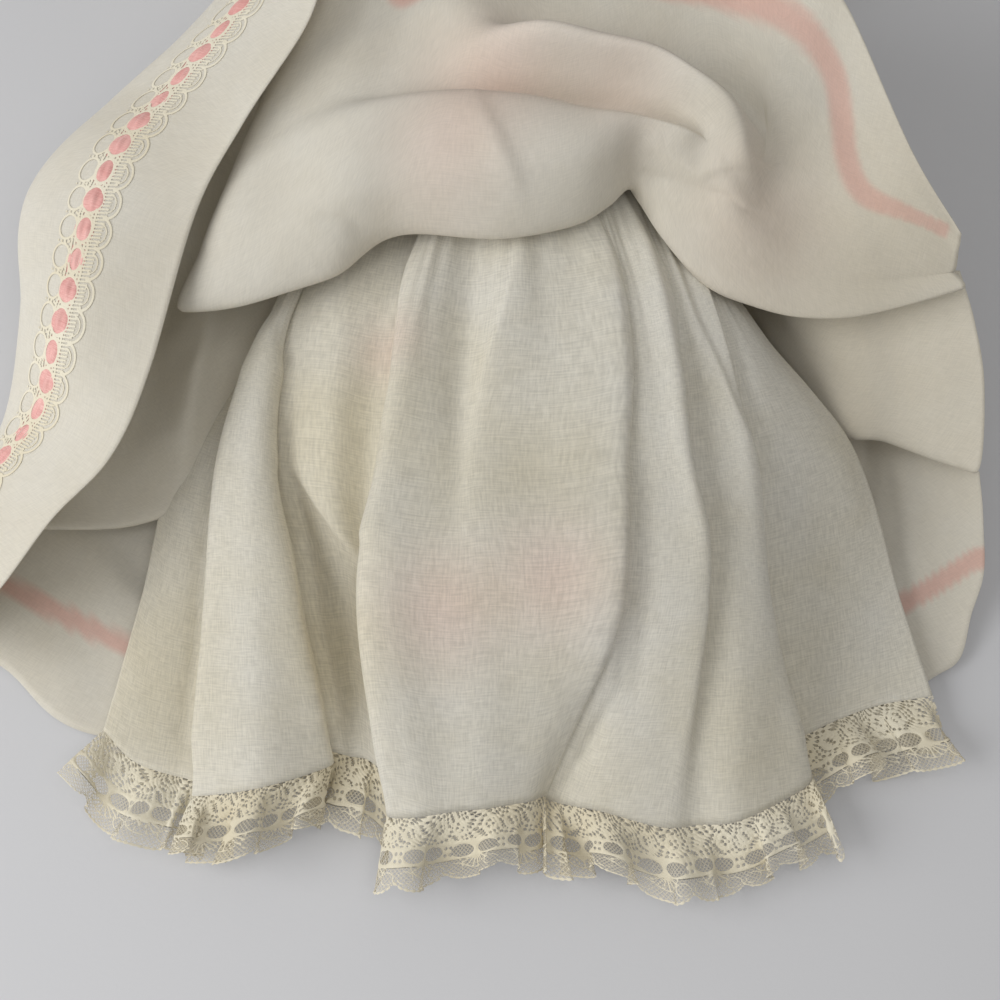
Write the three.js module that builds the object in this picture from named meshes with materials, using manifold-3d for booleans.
// A porcelain baby doll lying on its back in a long cotton gown. The gown's front is thrown up over the
// chest, so the gathered petticoat with its lace hem shows. Millimetres, +Z up, +Y towards the head,
// origin on the table under the middle of the skirts.
import * as THREE from "three";
import { mergeVertices } from "three/addons/utils/BufferGeometryUtils.js";
import Module from "manifold-3d";

const wasm = await Module();
wasm.setup();

// Cloth, and the gaps between pieces that touch.
const GAP = 0.4;
const TRIM_GAP = 0.8;
const CLOTH = 0.8;
const LACE = 0.6;
const RIBBON = 0.4;
const RIBBON_WIDTH = 6.4;
const GALLOON_WIDTH = 16;
const GALLOON_FROM_HEM = 18.5;
const EDGING_WIDTH = 22;
const UNDER_TRIM = 2 * TRIM_GAP + LACE + RIBBON + 0.2;

// The stuffed body.
const BODY_FLOOR = 2 * CLOTH + 3 * GAP;
const BODY_HALF_WIDTH = 38;
const BODY_HALF_DEPTH = 24.5;
const BODY_BOTTOM = 74.5;
const SHOULDER_Y = 168;
const WAISTBAND_Y = 100;
const WAISTBAND_HEIGHT = 7;
const BODICE_Y = 119;
const BODICE_TOP = SHOULDER_Y + 9;
const ARMHOLE_RADIUS = 12.5;

// The head and its neck, which turns about the line x = 0, z = NECK_Z.
const NECK_Z = 46;
const NECK_Y = SHOULDER_Y + 18;
const NECK_RADIUS = 15.5;
const FLANGE_RADIUS = 20;
const HEAD_WIDTH = 88;
const HEAD_LENGTH = 100;
const HEAD_DEPTH = 94;
const HEAD_Y = NECK_Y + 64;
const HEAD_Z = HEAD_DEPTH / 2 + 4;
const HEAD_WALL = 3.5;
const CROWN_CUT = 0.72;
const EYE_RADIUS = 8.5;
const EYE_APART = 31;
const WIG_DEPTH = 3;

// The limbs.
const ARM_RADIUS = 12;
const WRIST_RADIUS = 7.5;
const SLEEVE_ROOM = 4;
const HIP_X = 19;
const HIP_Y = 68;
const THIGH_RADIUS = 16.5;
const ANKLE_RADIUS = 9.5;
const FOOT_LENGTH = 36;
const CORD_RADIUS = 1.1;

const COTTON = 0xcdcbc0;
const COTTON_INSIDE = 0xb9b4a5;
const LACE_COLOUR = 0xded6be;
const PINK = 0xe29692;
const BISQUE = 0xf0d5c4;
const MUSLIN = 0xd8c9a8;
const CORD_COLOUR = 0xe4dcc4;

const V = (x, y, z) => new THREE.Vector3(x, y, z);
const mix = THREE.MathUtils.lerp;
const eased = THREE.MathUtils.smoothstep;

const doll = new THREE.Group();

function add(name, geometry, color, roughness) {
  const material = new THREE.MeshStandardMaterial({ color, roughness, metalness: 0 });
  const mesh = new THREE.Mesh(geometry, material);
  mesh.name = name;
  doll.add(mesh);
  return mesh;
}

// A closed body from points and triangles, turned so that its faces point out.
function closed(points, triangles) {
  let volume = 0;
  for (const [a, b, c] of triangles) {
    volume += points[a].dot(points[b].clone().cross(points[c]));
  }
  const order = volume < 0 ? ([a, b, c]) => [a, c, b] : (t) => t;
  const geometry = new THREE.BufferGeometry().setFromPoints(points);
  geometry.setIndex(triangles.map(order).flat());
  return geometry;
}

// Rings of points joined into a tube, with both ends closed by a flat fan.
function capped(rings) {
  const n = rings[0].length;
  const points = rings.flat();
  const triangles = [];
  for (let i = 0; i + 1 < rings.length; i += 1) {
    for (let j = 0; j < n; j += 1) {
      const k = (j + 1) % n;
      triangles.push([i * n + j, i * n + k, (i + 1) * n + j]);
      triangles.push([i * n + k, (i + 1) * n + k, (i + 1) * n + j]);
    }
  }
  for (const [ring, flip] of [[0, true], [rings.length - 1, false]]) {
    const centre = V(0, 0, 0);
    rings[ring].forEach((p) => centre.add(p));
    points.push(centre.divideScalar(n));
    for (let j = 0; j < n; j += 1) {
      const pair = [ring * n + j, ring * n + ((j + 1) % n)];
      triangles.push(flip ? [points.length - 1, pair[1], pair[0]] : [points.length - 1, ...pair]);
    }
  }
  return closed(points, triangles);
}

// An open-ended tube with a wall, between outer rings and inner rings.
function walled(outer, inner) {
  const loop = [...outer, ...[...inner].reverse()];
  const n = outer[0].length;
  const triangles = [];
  for (let i = 0; i < loop.length; i += 1) {
    const next = (i + 1) % loop.length;
    for (let j = 0; j < n; j += 1) {
      const k = (j + 1) % n;
      triangles.push([i * n + j, i * n + k, next * n + j]);
      triangles.push([i * n + k, next * n + k, next * n + j]);
    }
  }
  return closed(loop.flat(), triangles);
}

function solidOf(geometry) {
  const bare = geometry.clone();
  bare.deleteAttribute("normal");
  bare.deleteAttribute("uv");
  const merged = mergeVertices(bare, 1e-4);
  const vertProperties = new Float32Array(merged.attributes.position.array);
  const triVerts = new Uint32Array(merged.index.array);
  return new wasm.Manifold(new wasm.Mesh({ numProp: 3, vertProperties, triVerts }));
}

function geometryOf(solid) {
  const mesh = solid.getMesh();
  const geometry = new THREE.BufferGeometry();
  const step = mesh.numProp;
  const flat = [];
  for (let i = 0; i < mesh.vertProperties.length; i += step) {
    flat.push(mesh.vertProperties[i], mesh.vertProperties[i + 1], mesh.vertProperties[i + 2]);
  }
  geometry.setAttribute("position", new THREE.Float32BufferAttribute(flat, 3));
  geometry.setIndex([...mesh.triVerts]);
  return geometry;
}

function ball(centre, rx, ry, rz, around = 8, down = 6) {
  const geometry = new THREE.SphereGeometry(1, around, down);
  geometry.scale(rx, ry, rz);
  geometry.translate(centre.x, centre.y, centre.z);
  return solidOf(geometry);
}

// A body turned about the neck line; the profile is radius and y.
function turned(profile, around = 18) {
  const geometry = new THREE.LatheGeometry(profile.map(([r, y]) => new THREE.Vector2(r, y)), around);
  geometry.translate(0, 0, NECK_Z);
  return geometry;
}

// Half-width, half-depth and middle height of the stuffed body along Y, as shares of its full size.
const BODY_FORM = [
  [BODY_BOTTOM, 0.82, 0.8],
  [BODY_BOTTOM + 6, 0.98, 0.96],
  [92, 1, 1],
  [108, 0.95, 0.98],
  [130, 0.9, 0.95],
  [152, 0.92, 0.92],
  [SHOULDER_Y, 0.9, 0.86],
  [BODICE_TOP, 0.74, 0.74],
  [BODICE_TOP + 4, 0.5, 0.6],
];
function bodyAt(y) {
  let i = 0;
  while (i < BODY_FORM.length - 2 && y > BODY_FORM[i + 1][0]) {
    i += 1;
  }
  const [y0, w0, d0] = BODY_FORM[i];
  const [y1, w1, d1] = BODY_FORM[i + 1];
  const t = THREE.MathUtils.clamp((y - y0) / (y1 - y0), 0, 1);
  const depth = BODY_HALF_DEPTH * mix(d0, d1, t);
  const lift = eased(y, SHOULDER_Y - 3, NECK_Y) * (NECK_Z - BODY_FLOOR - depth) * 0.8;
  return { a: BODY_HALF_WIDTH * mix(w0, w1, t), b: depth, z: BODY_FLOOR + depth + lift };
}

// A point of a ring round the body at y, standing off by some distance, at an angle from +X.
function roundBody(y, off, degrees) {
  const { a, b, z } = bodyAt(y);
  const t = THREE.MathUtils.degToRad(degrees);
  return V((a + off) * Math.cos(t), y, z + (b + off) * Math.sin(t));
}
function bodyRing(y, off, around = 16) {
  return Array.from({ length: around }, (_, i) => roundBody(y, off, (360 * i) / around));
}

// Rings square to a path, with a radius at each of its points.
function pathRings(path, radii, around, squash = 1) {
  const curve = new THREE.CatmullRomCurve3(path, false, "centripetal");
  const n = path.length - 1;
  return path.map((p, i) => {
    const along = curve.getTangent(i / n);
    const side = V(0, 0, 1).cross(along).normalize();
    const up = along.clone().cross(side);
    return Array.from({ length: around }, (_, j) => {
      const t = (2 * Math.PI * j) / around;
      return p.clone()
        .addScaledVector(side, radii[i] * Math.cos(t))
        .addScaledVector(up, radii[i] * squash * Math.sin(t));
    });
  });
}

// The bag and head. The bag's neck is drawn in over the flange and tied with a cord.
const bagRings = BODY_FORM.map(([y]) => bodyRing(y, 0));
const bagNeck = turned([
  [0, NECK_Y - 8], [14, NECK_Y - 8], [FLANGE_RADIUS + 2.4, NECK_Y - 4], [FLANGE_RADIUS + 2.4, NECK_Y + 4],
  [NECK_RADIUS + 2, NECK_Y + 7], [NECK_RADIUS + 2, NECK_Y + 13], [0, NECK_Y + 13],
]);
const neckBore = turned([
  [0, NECK_Y - GAP], [FLANGE_RADIUS + GAP, NECK_Y - GAP], [FLANGE_RADIUS + GAP, NECK_Y + 3.5 + GAP],
  [NECK_RADIUS + GAP, NECK_Y + 6 + GAP], [NECK_RADIUS + GAP, NECK_Y + 30], [0, NECK_Y + 30],
]);
const bag = solidOf(capped(bagRings)).add(solidOf(bagNeck)).subtract(solidOf(neckBore));
add("body_bag", geometryOf(bag), MUSLIN, 0.9);

const neckCord = new THREE.TorusGeometry(NECK_RADIUS + 2 + GAP + CORD_RADIUS, CORD_RADIUS, 4, 18);
neckCord.rotateX(Math.PI / 2);
neckCord.translate(0, NECK_Y + 10, NECK_Z);
add("neck_cord", neckCord, CORD_COLOUR, 0.9);

const headMiddle = V(0, HEAD_Y, HEAD_Z);
function skull(off, around = 18, down = 12) {
  return ball(headMiddle, HEAD_WIDTH / 2 + off, HEAD_LENGTH / 2 + off, HEAD_DEPTH / 2 + off, around, down);
}
// How far out a face point at x, y lies in z.
function faceZ(x, y) {
  const out = 1 - (x / (HEAD_WIDTH / 2)) ** 2 - ((y - HEAD_Y) / (HEAD_LENGTH / 2)) ** 2;
  return HEAD_Z + (HEAD_DEPTH / 2) * Math.sqrt(Math.max(out, 0));
}
const crownY = HEAD_Y + (HEAD_LENGTH / 2) * CROWN_CUT;
function beyondCrown(from) {
  const box = new THREE.BoxGeometry(200, 100, 200);
  box.translate(0, from + 50, HEAD_Z);
  return solidOf(box);
}
const eyeY = HEAD_Y - 6;
const eyes = [-1, 1].map((side) => {
  const x = (side * EYE_APART) / 2;
  return V(x, eyeY, faceZ(x, eyeY) - EYE_RADIUS + 1.2);
});
let head = skull(0).add(solidOf(turned([
  [0, NECK_Y], [FLANGE_RADIUS, NECK_Y], [FLANGE_RADIUS, NECK_Y + 3.5], [NECK_RADIUS, NECK_Y + 6],
  [NECK_RADIUS, NECK_Y + 16], [NECK_RADIUS + 3, NECK_Y + 30], [0, NECK_Y + 30],
])));
head = head.add(ball(V(0, HEAD_Y - 14, faceZ(0, HEAD_Y - 14)), 5, 5.5, 5.5));
head = head.add(ball(V(0, HEAD_Y - 36, faceZ(0, HEAD_Y - 36) - 4), 11, 8, 7));
for (const side of [-1, 1]) {
  head = head.add(ball(V(side * 19, HEAD_Y - 22, faceZ(19, HEAD_Y - 22) - 11), 14, 13, 13));
  head = head.add(ball(V(side * (HEAD_WIDTH / 2 - 1), HEAD_Y - 16, HEAD_Z + 1), 3.5, 8, 6));
}
const bore = turned([[0, NECK_Y - 5], [NECK_RADIUS - 5, NECK_Y - 5], [NECK_RADIUS - 5, NECK_Y + 40],
  [0, NECK_Y + 40]]);
head = head.subtract(skull(-HEAD_WALL, 12, 8).add(solidOf(bore)));
for (const eye of eyes) {
  head = head.subtract(ball(eye, EYE_RADIUS + 2 * GAP, EYE_RADIUS + 2 * GAP, EYE_RADIUS + 2 * GAP, 12, 8));
}
head = head.subtract(beyondCrown(crownY));
add("head_shell", geometryOf(head), BISQUE, 0.45);
["right_eye", "left_eye"].forEach((name, i) => {
  const eye = new THREE.SphereGeometry(EYE_RADIUS, 10, 7);
  eye.rotateX(Math.PI / 2);
  eye.translate(eyes[i].x, eyes[i].y, eyes[i].z);
  add(name, eye, 0x5b6f86, 0.1);
});
const pate = skull(0).subtract(skull(-2)).intersect(beyondCrown(crownY + GAP));
add("crown_pate", geometryOf(pate), 0xb39a78, 0.9);

// The wig is a cap from the forehead over the crown to the nape.
const hairBox = new THREE.BoxGeometry(200, 200, 100);
hairBox.translate(0, 0, 50);
hairBox.rotateX(0.64);
hairBox.translate(0, HEAD_Y, HEAD_Z);
const wig = skull(GAP + WIG_DEPTH).subtract(skull(GAP)).subtract(solidOf(hairBox));
add("wig", geometryOf(wig), 0xa8845a, 0.85);

// Limbs. A bisque limb's flange sits in the end of a cloth one, and a cord ties the cloth over it.
function tied(name, cloth, clothRadii, hard, hardRadii, ends) {
  const tie = cloth[cloth.length - 1];
  const along = hard[1].clone().sub(hard[0]).normalize();
  const plug = [tie.clone().addScaledVector(along, -9), tie.clone().addScaledVector(along, 3)];
  const last = clothRadii[clothRadii.length - 1];
  const before = clothRadii[clothRadii.length - 2];
  const radius = last - 2;
  const room = pathRings(plug.map((p, i) => p.addScaledVector(along, i ? 0 : -GAP)),
    [radius + GAP, radius + GAP], 10);
  const stuffed = solidOf(capped(pathRings(cloth, clothRadii, 12))).subtract(solidOf(capped(room)));
  add(`${name[0]}`, geometryOf(stuffed), MUSLIN, 0.9);
  const start = tie.clone().addScaledVector(along, -9 + GAP);
  let solid = solidOf(capped(pathRings([start, ...hard], [radius - GAP, radius - GAP, ...hardRadii.slice(1)], 10)));
  for (const end of ends) {
    solid = solid.add(end);
  }
  add(`${name[1]}`, geometryOf(solid), BISQUE, 0.45);
  const tieRadius = mix(last, before, 5 / tie.distanceTo(cloth[cloth.length - 2])) + 1;
  const ring = new THREE.TorusGeometry(tieRadius + GAP + CORD_RADIUS, CORD_RADIUS, 4, 12);
  const turn = new THREE.Quaternion().setFromUnitVectors(V(0, 0, 1), along);
  ring.applyQuaternion(turn);
  const at = tie.clone().addScaledVector(along, -4);
  ring.translate(at.x, at.y, at.z);
  add(`${name[2]}`, ring, CORD_COLOUR, 0.9);
}

function finger(from, to, radius) {
  const capsule = new THREE.CapsuleGeometry(radius, from.distanceTo(to), 2, 5);
  const turn = new THREE.Quaternion().setFromUnitVectors(V(0, 1, 0), to.clone().sub(from).normalize());
  capsule.applyQuaternion(turn);
  const middle = from.clone().lerp(to, 0.5);
  capsule.translate(middle.x, middle.y, middle.z);
  return solidOf(capsule);
}

const SHOULDER_Z = 26;
const ARM_OUT = 0.78;
const bodySide = roundBody(SHOULDER_Y - ARM_RADIUS, 0, 0).x;
for (const [word, side] of [["right", -1], ["left", 1]]) {
  const out = (d, z) => V(side * (bodySide + 10 + d * ARM_OUT), SHOULDER_Y + d * Math.sqrt(1 - ARM_OUT ** 2), z);
  const root = V(side * (bodySide + GAP), SHOULDER_Y, SHOULDER_Z);
  const cloth = [root, V(side * (bodySide + 7), SHOULDER_Y, SHOULDER_Z), out(10, 24), out(26, 20), out(44, 16.5)];
  const wrist = out(88, 11);
  const palm = out(97, 10);
  const hand = [ball(palm, 9, 9, 6)];
  for (const [spread, length] of [[-0.5, 15], [-0.17, 18], [0.17, 18], [0.5, 15]]) {
    const way = palm.clone().sub(wrist).setZ(0).normalize().applyAxisAngle(V(0, 0, 1), spread * 0.8);
    const cross = V(-way.y, way.x, 0).multiplyScalar(spread * 9);
    const base = palm.clone().add(cross);
    const tip = base.clone().addScaledVector(way, length - 3);
    hand.push(finger(base, tip.setZ(7), 2.3));
  }
  const thumbWay = V(-side * 0.55, 0.83, 0);
  hand.push(finger(palm, palm.clone().addScaledVector(thumbWay, 12), 2.6));
  tied([`${word}_upper_arm`, `${word}_forearm`, `${word}_arm_cord`],
    cloth, [ARM_RADIUS - 2, ARM_RADIUS - 1, ARM_RADIUS, ARM_RADIUS, ARM_RADIUS - 2.5],
    [out(44, 16.5), out(62, 14), out(78, 12), wrist, palm],
    [ARM_RADIUS - 4, ARM_RADIUS - 2.5, WRIST_RADIUS + 1, WRIST_RADIUS, WRIST_RADIUS - 1], hand);

  // The sleeve starts against the bodice, swells over the arm and is gathered at the wrist.
  const inner = bodySide + 2 * GAP + CLOTH;
  const sleevePath = [V(side * inner, SHOULDER_Y, SHOULDER_Z), V(side * (inner + 8), SHOULDER_Y, SHOULDER_Z),
    out(14, 24.5), out(32, 21), out(52, 18), out(66, 15.5)];
  const room = [0.4, 2, SLEEVE_ROOM + 2, SLEEVE_ROOM + 3, SLEEVE_ROOM + 1, 0.8].map((r, i) =>
    r + [ARM_RADIUS + GAP, ARM_RADIUS, ARM_RADIUS, ARM_RADIUS, ARM_RADIUS, ARM_RADIUS][i]);
  add(`${word}_sleeve`, walled(pathRings(sleevePath, room.map((r) => r + CLOTH), 14),
    pathRings(sleevePath, room, 14)), COTTON, 0.9);
  const cuff = [out(66.6, 15.4), out(72, 14.5), out(78, 13.4)];
  const flare = [ARM_RADIUS + 0.8, ARM_RADIUS + 0.6, ARM_RADIUS + 0.4];
  add(`${word}_cuff_lace`, walled(pathRings(cuff, flare.map((r) => r + LACE), 14), pathRings(cuff, flare, 14)),
    LACE_COLOUR, 0.9);

  // The leg: a stuffed thigh with a flattened sewn end, and a bisque shin with the foot pointing up.
  const x = (d) => side * (HIP_X - d * 0.055);
  const low = BODY_FLOOR;
  const thigh = [V(x(-5), HIP_Y + 5, low + THIGH_RADIUS), V(x(-3), HIP_Y + 3.6, low + THIGH_RADIUS),
    V(x(0), HIP_Y, low + THIGH_RADIUS), V(x(12), HIP_Y - 12, low + THIGH_RADIUS),
    V(x(28), HIP_Y - 28, low + THIGH_RADIUS - 2), V(x(40), HIP_Y - 40, low + THIGH_RADIUS)];
  const heelY = HIP_Y - 86;
  const heelZ = low + UNDER_TRIM + GAP + 11;
  const shin = [V(x(40), HIP_Y - 40, low + THIGH_RADIUS), V(x(54), HIP_Y - 54, low + 16),
    V(x(68), HIP_Y - 68, low + 14.5), V(x(80), HIP_Y - 80, heelZ), V(x(88), heelY - 1, heelZ)];
  const foot = [];
  const sole = V(x(88), heelY - 2, heelZ);
  foot.push(ball(V(sole.x, sole.y + 1, sole.z), 10, 9, 11));
  foot.push(ball(V(sole.x, sole.y - 1.5, sole.z + FOOT_LENGTH * 0.32), 10, 6.5, FOOT_LENGTH * 0.42));
  [[-7, 0.1], [-3.4, 0.6], [0.2, 0.9], [3.8, 1], [7.6, 0.8]].forEach(([across, up], i) => {
    const r = i === 4 ? 3 : 2.3;
    const toe = V(sole.x - side * across, sole.y - 2, sole.z + FOOT_LENGTH * 0.66 + up);
    foot.push(ball(toe, r, r, r, 5, 4));
  });
  tied([`${word}_thigh`, `${word}_lower_leg`, `${word}_leg_cord`],
    thigh, [THIGH_RADIUS * 0.62, THIGH_RADIUS * 0.84, THIGH_RADIUS, THIGH_RADIUS, THIGH_RADIUS - 2, THIGH_RADIUS - 4],
    shin, [THIGH_RADIUS - 6, THIGH_RADIUS - 3.7, ANKLE_RADIUS + 2, ANKLE_RADIUS, ANKLE_RADIUS], foot);
}

// The bodice is a cotton tube round the body with two armholes, and a lace frill at the neck.
const bodiceY = [BODICE_Y, ...BODY_FORM.map(([y]) => y).filter((y) => y > BODICE_Y && y <= BODICE_TOP)];
let bodice = solidOf(walled(bodiceY.map((y) => bodyRing(y, GAP + CLOTH)), bodiceY.map((y) => bodyRing(y, GAP))));
const armholes = new THREE.CylinderGeometry(ARMHOLE_RADIUS, ARMHOLE_RADIUS, 200, 20);
armholes.rotateZ(Math.PI / 2);
armholes.translate(0, SHOULDER_Y, SHOULDER_Z);
bodice = bodice.subtract(solidOf(armholes));
add("gown_bodice", geometryOf(bodice), COTTON, 0.9);
const neckLace = turned([
  [FLANGE_RADIUS + 3.4, BODICE_TOP + 4.2], [FLANGE_RADIUS + 10, BODICE_TOP + 6.4], [FLANGE_RADIUS + 16, BODICE_TOP + 6],
  [FLANGE_RADIUS + 16, BODICE_TOP + 6.6], [FLANGE_RADIUS + 10, BODICE_TOP + 7], [FLANGE_RADIUS + 3.4, BODICE_TOP + 4.8],
  [FLANGE_RADIUS + 3.4, BODICE_TOP + 4.2],
], 18);
add("gown_neck_lace", neckLace, LACE_COLOUR, 0.9);
const bandY = [WAISTBAND_Y, WAISTBAND_Y + WAISTBAND_HEIGHT / 2, WAISTBAND_Y + WAISTBAND_HEIGHT];
add("petticoat_waistband", walled(bandY.map((y) => bodyRing(y, GAP + CLOTH)), bandY.map((y) => bodyRing(y, GAP))),
  COTTON_INSIDE, 0.9);

// Cloth panels. A panel is lofted through rails, each a list of points from one seam to the other.
function panel(rails) {
  const curves = rails.map((rail) => new THREE.CatmullRomCurve3(rail, false, "catmullrom", 0.5));
  return (u) => {
    const points = curves.map((curve) => curve.getPoint(u));
    return new THREE.CatmullRomCurve3(points, false, "catmullrom", 0.5);
  };
}
// A panel of straight stretches keeps its own corners, and a curved one is cut evenly.
function gridOf(form, across, down) {
  return Array.from({ length: across + 1 }, (_, i) => {
    const curve = form(i / across);
    if (curve.curves) {
      return [curve.curves[0].v1, ...curve.curves.map((part) => part.v2)];
    }
    return Array.from({ length: down + 1 }, (_, j) => curve.getPoint(j / down));
  });
}
function normalsOf(grid) {
  const m = grid.length - 1;
  const n = grid[0].length - 1;
  return grid.map((row, i) => row.map((_, j) => {
    const a = grid[Math.min(i + 1, m)][j].clone().sub(grid[Math.max(i - 1, 0)][j]);
    const b = row[Math.min(j + 1, n)].clone().sub(row[Math.max(j - 1, 0)]);
    return a.cross(b).normalize();
  }));
}
// A sheet of some thickness whose middle lies off the grid along its normals.
function sheet(grid, thickness, off = 0, normals = normalsOf(grid)) {
  const m = grid.length;
  const n = grid[0].length;
  const level = (d) => grid.flatMap((row, i) => row.map((p, j) => p.clone().addScaledVector(normals[i][j], d)));
  const points = [...level(off + thickness / 2), ...level(off - thickness / 2)];
  const at = (i, j) => i * n + j;
  const triangles = [];
  for (let i = 0; i + 1 < m; i += 1) {
    for (let j = 0; j + 1 < n; j += 1) {
      for (const [base, flip] of [[0, false], [m * n, true]]) {
        const q = [at(i, j), at(i + 1, j), at(i + 1, j + 1), at(i, j + 1)].map((k) => k + base);
        triangles.push(flip ? [q[0], q[2], q[1]] : [q[0], q[1], q[2]]);
        triangles.push(flip ? [q[0], q[3], q[2]] : [q[0], q[2], q[3]]);
      }
    }
  }
  const edge = [];
  for (let i = 0; i < m; i += 1) {
    edge.push(at(i, 0));
  }
  for (let j = 1; j < n; j += 1) {
    edge.push(at(m - 1, j));
  }
  for (let i = m - 2; i >= 0; i -= 1) {
    edge.push(at(i, n - 1));
  }
  for (let j = n - 2; j > 0; j -= 1) {
    edge.push(at(0, j));
  }
  edge.forEach((a, k) => {
    const b = edge[(k + 1) % edge.length];
    triangles.push([b, a, a + m * n]);
    triangles.push([b, a + m * n, b + m * n]);
  });
  return closed(points, triangles);
}
// A trim strip on a panel, between two distances from its hem, standing off one face of the cloth.
function trim(grid, from, to, thickness, off, stations) {
  const cloth = normalsOf(grid);
  const normals = [];
  const points = grid.slice(1, -1).map((row, i) => {
    normals.push([]);
    return stations.map((s) => {
      let left = mix(from, to, s);
      let k = row.length - 1;
      while (k > 1 && left > row[k].distanceTo(row[k - 1])) {
        left -= row[k].distanceTo(row[k - 1]);
        k -= 1;
      }
      const t = Math.min(left / row[k].distanceTo(row[k - 1]), 1);
      normals[i].push(cloth[i + 1][k].clone().lerp(cloth[i + 1][k - 1], t).normalize());
      return row[k].clone().lerp(row[k - 1], t);
    });
  });
  return sheet(points, thickness, off, normals);
}

// The skirts are drawn for this body and foot, and grow with them.
const DRAWN_HALF_WIDTH = 38;
const DRAWN_HALF_DEPTH = 24.5;
const DRAWN_TOE_TOP = 45.5;
const toeTop = BODY_FLOOR + UNDER_TRIM + GAP + 15 + FOOT_LENGTH * 0.66;
const WIDE = Math.max(BODY_HALF_WIDTH / DRAWN_HALF_WIDTH, 1);
const RISE = Math.max(BODY_HALF_DEPTH / DRAWN_HALF_DEPTH, toeTop / DRAWN_TOE_TOP, 1);
const drawn = ([x, y, z]) => V(x * WIDE, y, z * RISE);
const seamAt = (degrees) => roundBody(BODICE_Y - GAP, GAP + CLOTH / 2, degrees);
const bandAt = (degrees) => roundBody(WAISTBAND_Y - GAP, GAP + CLOTH / 2, degrees);
// Columns of points from seam to hem, turned into rails that run along the hem.
function railsOf(columns, top) {
  const full = columns.map(([degrees, ...points]) => [top(degrees), ...points.map(drawn)]);
  return full[0].map((_, k) => full.map((column) => column[k]));
}

// The front panel comes down from the bodice, folds back at the lap and lies rolled over the chest, so its
// columns go seam, lap, fold, roll, dip behind the roll, upper roll and hem.
const frontForm = panel(railsOf([
  [160, [-58, 88, 36], [-80, 53, 36], [-79, 60, 38], [-75, 70, 40], [-66, 90, 45], [-50, 116, 58]],
  [150, [-54, 86, 45], [-84, 46, 50], [-80, 58, 58], [-74, 70, 62], [-62, 90, 67], [-44, 126, 72]],
  [136, [-44, 87, 53], [-66, 48, 54], [-64, 60, 68], [-60, 74, 73], [-50, 98, 76], [-36, 136, 74]],
  [122, [-33, 88, 58], [-47, 51, 57], [-47, 63, 74], [-44, 80, 77], [-36, 104, 82], [-26, 144, 70]],
  [108, [-20, 88, 60], [-31, 61, 59], [-30, 68, 77], [-27, 84, 78], [-20, 108, 85], [-14, 150, 65]],
  [94, [-4, 88, 61], [-4, 59, 61], [-4, 70, 80], [-3, 90, 76], [0, 109, 87], [2, 152, 62]],
  [80, [10, 88, 61], [13, 61, 61], [13, 72, 80], [16, 91, 75], [20, 106, 87], [22, 149, 66]],
  [68, [20, 88, 59], [27, 71, 59], [30, 76, 76], [36, 88, 74], [38, 101, 86], [44, 140, 76]],
  [56, [28, 87, 54], [45, 60, 50], [47, 68, 66], [52, 82, 74], [56, 92, 80], [64, 127, 86]],
  [46, [36, 84, 48], [70, 46, 46], [70, 54, 58], [72, 66, 68], [75, 80, 77], [80, 110, 85]],
  [38, [44, 82, 44], [88, 47, 47], [89, 52, 56], [91, 58, 62], [93, 65, 68], [97, 74, 73]],
  [30, [50, 80, 41], [105, 51, 51], [106, 52, 53], [107, 53, 55], [108, 54, 58], [109, 56, 62]],
], seamAt));

// The doll's right side panel lies beside the body, turns up and curls over, so its outside shows as a
// strip with the lace. Its columns go seam, hip, lap edge, table, outer turn, crown of the strip, hem.
const rightForm = panel(railsOf([
  [212, [-52, 78, 4], [-72, 32, 4], [-100, 8, 4], [-150, -8, 5], [-161, -18, 9], [-158, -33, 11]],
  [206, [-53, 77, 9], [-74, 21, 9], [-102, -1, 9], [-152, -5, 16], [-157, -19, 25], [-146, -37, 24]],
  [198, [-54, 77, 12], [-77, 29, 14], [-106, 6, 10], [-146, 3, 16], [-147, -12, 27], [-131, -28, 35]],
  [190, [-55, 77, 15], [-81, 34, 18], [-108, 14, 11], [-137, 15, 23], [-132, 5, 36], [-116, -11, 44]],
  [183, [-56, 77, 18], [-84, 40, 20], [-106, 26, 12], [-132, 29, 31], [-121, 18, 45], [-101, 3, 51]],
  [176, [-57, 78, 20], [-86, 46, 20], [-106, 38, 13], [-129, 48, 40], [-115, 35, 56], [-91, 24, 58]],
  [171, [-58, 80, 22], [-86, 54, 22], [-104, 54, 15], [-129, 76, 44], [-107, 73, 63], [-81, 62, 65]],
  [168, [-59, 85, 25], [-79, 71, 27], [-93, 76, 22], [-110, 97, 50], [-87, 100, 65], [-69, 83, 73]],
  [165, [-58, 93, 28], [-72, 90, 31], [-86, 98, 30], [-95, 109, 54], [-70, 122, 70], [-53, 106, 81]],
  [163, [-54, 112, 31], [-63, 117, 37], [-79, 121, 44], [-80, 127, 58], [-62, 140, 72], [-48, 124, 84]],
], seamAt));

// The doll's left side panel is the lower tier under the front panel's fold.
const leftForm = panel(railsOf([
  [24, [53, 80, 29], [76, 57, 34], [94, 55, 40], [110, 52, 48]],
  [16, [54, 79, 26], [79, 49, 32], [98, 46, 40], [116, 41, 47]],
  [8, [55, 78, 21], [82, 38, 26], [101, 33, 35], [119, 25, 41]],
  [0, [56, 76, 15], [82, 26, 17], [99, 17, 24], [118, 6, 31]],
  [-8, [55, 76, 5], [79, 34, 5], [96, 26, 10], [114, 18, 19]],
], seamAt));

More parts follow.
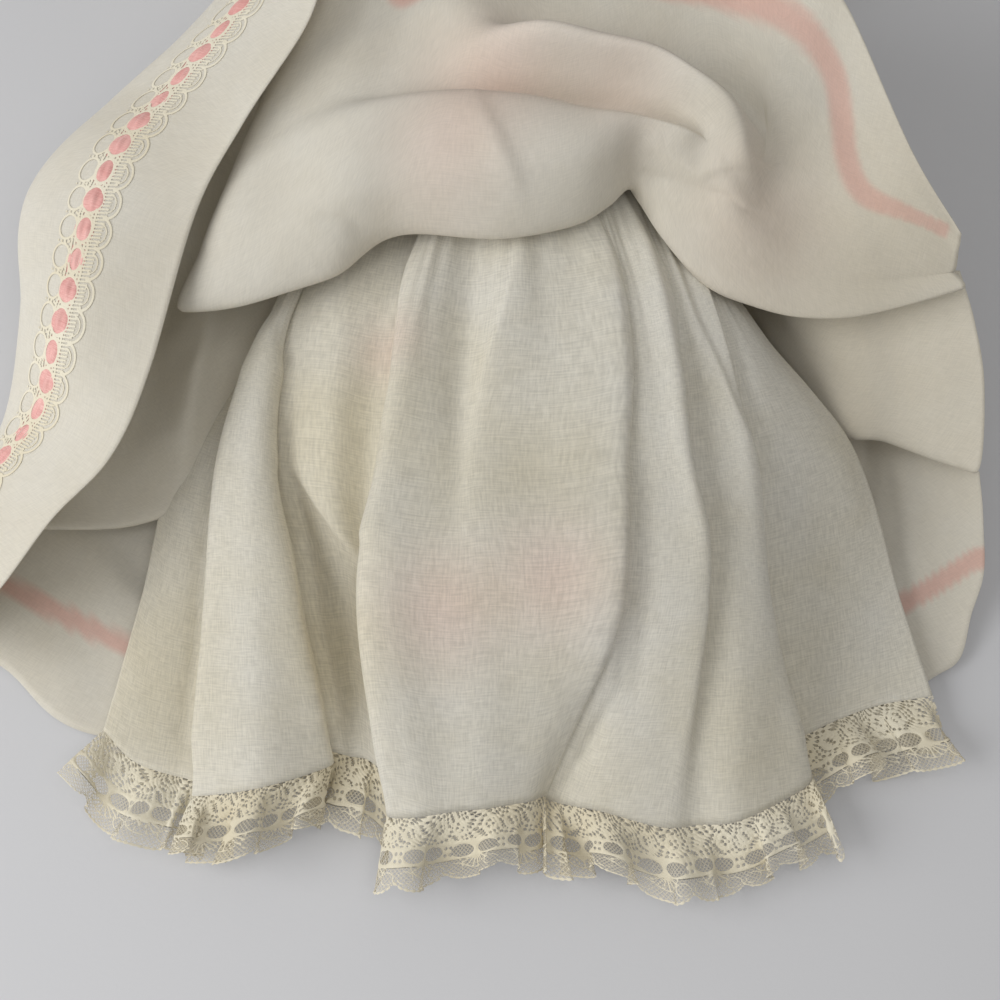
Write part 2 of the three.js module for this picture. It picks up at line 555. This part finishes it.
// The back panel lies flat on the table, with its corners lifting a little.
const backHem = [[-158, -26, 1], [-136, -40, 0.5], [-113, -57, 0], [-60, -60, 0], [0, -60, 0], [60, -58, 0],
  [95, -50, 0], [110, -42, 0.5], [117, -37, 1], [120, -26, 4], [123, -16, 8], [122, -4, 9], [119, 7, 10]].map(([x, y, z]) => V(x * WIDE, y, z));
const backHemLine = new THREE.CatmullRomCurve3(backHem, false, "catmullrom", 0.5);
function backForm(u) {
  const seam = seamAt(mix(-142, -38, u)).setZ(GAP + CLOTH);
  const hem = backHemLine.getPoint(u);
  const lifted = hem.z + CLOTH / 2 + UNDER_TRIM;
  const line = new THREE.CurvePath();
  const length = seam.distanceTo(hem);
  const trimmed = GALLOON_FROM_HEM + GALLOON_WIDTH + 1.5;
  const shares = [0.12, 1 - (trimmed + 10) / length, 1 - trimmed / length, 1];
  const stops = [seam, ...shares.map((s) => seam.clone().lerp(hem, s))];
  [seam.z, CLOTH / 2, CLOTH / 2, CLOTH / 2 + UNDER_TRIM, lifted].forEach((z, i) => stops[i].setZ(z));
  for (let i = 0; i + 1 < stops.length; i += 1) {
    line.add(new THREE.LineCurve3(stops[i], stops[i + 1]));
  }
  return line;
}

const laceOff = CLOTH / 2 + TRIM_GAP + LACE / 2;
const ribbonOff = laceOff + LACE / 2 + TRIM_GAP + RIBBON / 2;
const ribbonFrom = GALLOON_FROM_HEM + (GALLOON_WIDTH - RIBBON_WIDTH) / 2;
// Each panel with its grid, the side of the grid that is the gown's outside, and its colour.
const gownPanels = [
  ["front", gridOf(frontForm, 22, 12), -1, COTTON_INSIDE],
  ["right_side", gridOf(rightForm, 18, 18), -1, COTTON],
  ["left_side", gridOf(leftForm, 8, 8), -1, COTTON_INSIDE],
  ["back", gridOf(backForm, 20, 1), 1, COTTON_INSIDE],
];
for (const [word, grid, face, colour] of gownPanels) {
  add(`gown_${word}_panel`, sheet(grid, CLOTH), colour, 0.9);
  add(`gown_${word}_lace`, trim(grid, GALLOON_FROM_HEM, GALLOON_FROM_HEM + GALLOON_WIDTH, LACE, face * laceOff,
    [0, 0.33, 0.67, 1]), LACE_COLOUR, 0.9);
  add(`gown_${word}_ribbon`, trim(grid, ribbonFrom, ribbonFrom + RIBBON_WIDTH, RIBBON, face * ribbonOff,
    [0, 0.5, 1]), PINK, 0.4);
}

// The petticoat's front is gathered at the waist and spreads in pleats; its columns go waistband, thigh,
// knee, toes and hem, from the doll's right to its left.
const petticoatColumns = [
  [172, [-56, 50, 16], [-82, 8, 9], [-98, -30, 8], [-110, -57, 7]],
  [166, [-57, 50, 23], [-80, 6, 13], [-93, -34, 9], [-99, -67, 7]],
  [160, [-59, 49, 30], [-79, 4, 18], [-85, -36, 11], [-86, -76, 7.5]],
  [152, [-61, 48, 35], [-77, 4, 26], [-80, -34, 21], [-82, -75, 14]],
  [145, [-60, 47, 38], [-70, 4, 32], [-70, -34, 27], [-71, -76, 19]],
  [138, [-57, 46, 38], [-62, 5, 31], [-57, -34, 24], [-52, -70, 12]],
  [130, [-52, 47, 39], [-54, 6, 33], [-49, -33, 19], [-45, -63, 7.5]],
  [122, [-45, 49, 44], [-46, 8, 40], [-44, -31, 30], [-36, -65, 7.5]],
  [112, [-32, 52, 52], [-38, 6, 51], [-39, -32, 50], [-33, -80, 16]],
  [102, [-20, 53, 54], [-25, 6, 53], [-24, -32, 52], [-22, -82, 18]],
  [93, [-8, 54, 55], [-10, 6, 53], [-8, -32, 52], [-9, -80, 19]],
  [84, [6, 54, 55], [8, 6, 53], [8, -32, 52], [4, -78, 18]],
  [74, [20, 53, 54], [24, 6, 53], [24, -32, 52], [9, -77, 13]],
  [66, [27, 52, 51], [31, 6, 51], [32, -32, 50], [22, -81, 15]],
  [56, [33, 50, 51], [38, 5, 51], [40, -31, 49], [36, -84, 13]],
  [47, [38, 49, 46], [46, 4, 45], [52, -30, 40], [55, -82, 13]],
  [38, [42, 48, 42], [54, 4, 38], [63, -30, 27], [73, -72, 11]],
  [28, [44, 48, 40], [60, 5, 30], [70, -28, 16], [77, -58, 7.5]],
  [18, [46, 48, 37], [72, 6, 24], [86, -25, 11], [92, -52, 7]],
  [10, [48, 48, 34], [84, 6, 17], [99, -27, 9], [108, -48, 7]],
];
const petticoatForm = panel(railsOf(petticoatColumns, bandAt));
add("petticoat_front_panel", sheet(gridOf(petticoatForm, 38, 8), CLOTH), COTTON, 0.9);

// The edging is ruffled on the hem and fans out from it, falling to the table.
const hemLine = new THREE.CatmullRomCurve3(petticoatColumns.map((c) => drawn(c[4])), false, "catmullrom", 0.5);
const SPREAD_FROM = V(0, 60, 0);
function edgingForm(u) {
  const hem = hemLine.getPoint(u);
  const out = hem.clone().sub(SPREAD_FROM).setZ(0).normalize();
  const wave = Math.sin(u * 2 * Math.PI * 13);
  const floor = CLOTH + UNDER_TRIM + 3;
  const low = Math.max(hem.z * 0.42, floor);
  const start = hem.clone().addScaledVector(out, TRIM_GAP);
  const end = hem.clone().addScaledVector(out, EDGING_WIDTH * 0.93).setZ(low + 1.6 + 1.6 * wave);
  const middle = start.clone().lerp(end, 0.5);
  middle.z += 1.2 + 0.8 * wave;
  return new THREE.CatmullRomCurve3([start, middle, end]);
}
add("petticoat_front_lace", sheet(gridOf(edgingForm, 52, 2), LACE), LACE_COLOUR, 0.9);

// The petticoat's back lies flat over the gown's back, with its own edging.
const petticoatLow = CLOTH + GAP + CLOTH / 2;
function petticoatBack(u) {
  const top = bandAt(mix(-170, -10, u)).setZ(petticoatLow);
  const hem = V(mix(-105, 102, u) * WIDE, mix(-53, -46, u) - 5 * Math.sin(Math.PI * u), 0);
  const line = new THREE.CurvePath();
  const stops = [0, 0.68, 0.76, 1].map((s) => top.clone().lerp(hem, s));
  [0, 0, UNDER_TRIM + GAP, UNDER_TRIM + GAP].forEach((lift, i) => stops[i].setZ(petticoatLow + lift));
  for (let i = 0; i + 1 < stops.length; i += 1) {
    line.add(new THREE.LineCurve3(stops[i], stops[i + 1]));
  }
  return line;
}
add("petticoat_back_panel", sheet(gridOf(petticoatBack, 10, 1), CLOTH), COTTON_INSIDE, 0.9);
function backEdging(u) {
  const hem = petticoatBack(u).getPoint(1);
  const out = hem.clone().sub(SPREAD_FROM).setZ(0).normalize();
  const start = hem.clone().addScaledVector(out, TRIM_GAP);
  const wave = 0.3 * Math.sin(u * 2 * Math.PI * 10);
  const end = hem.clone().addScaledVector(out, EDGING_WIDTH * 0.93).setZ(hem.z - 1 + wave);
  return new THREE.LineCurve3(start, end);
}
add("petticoat_back_lace", sheet(gridOf(backEdging, 40, 1), LACE), LACE_COLOUR, 0.9);

export default doll;
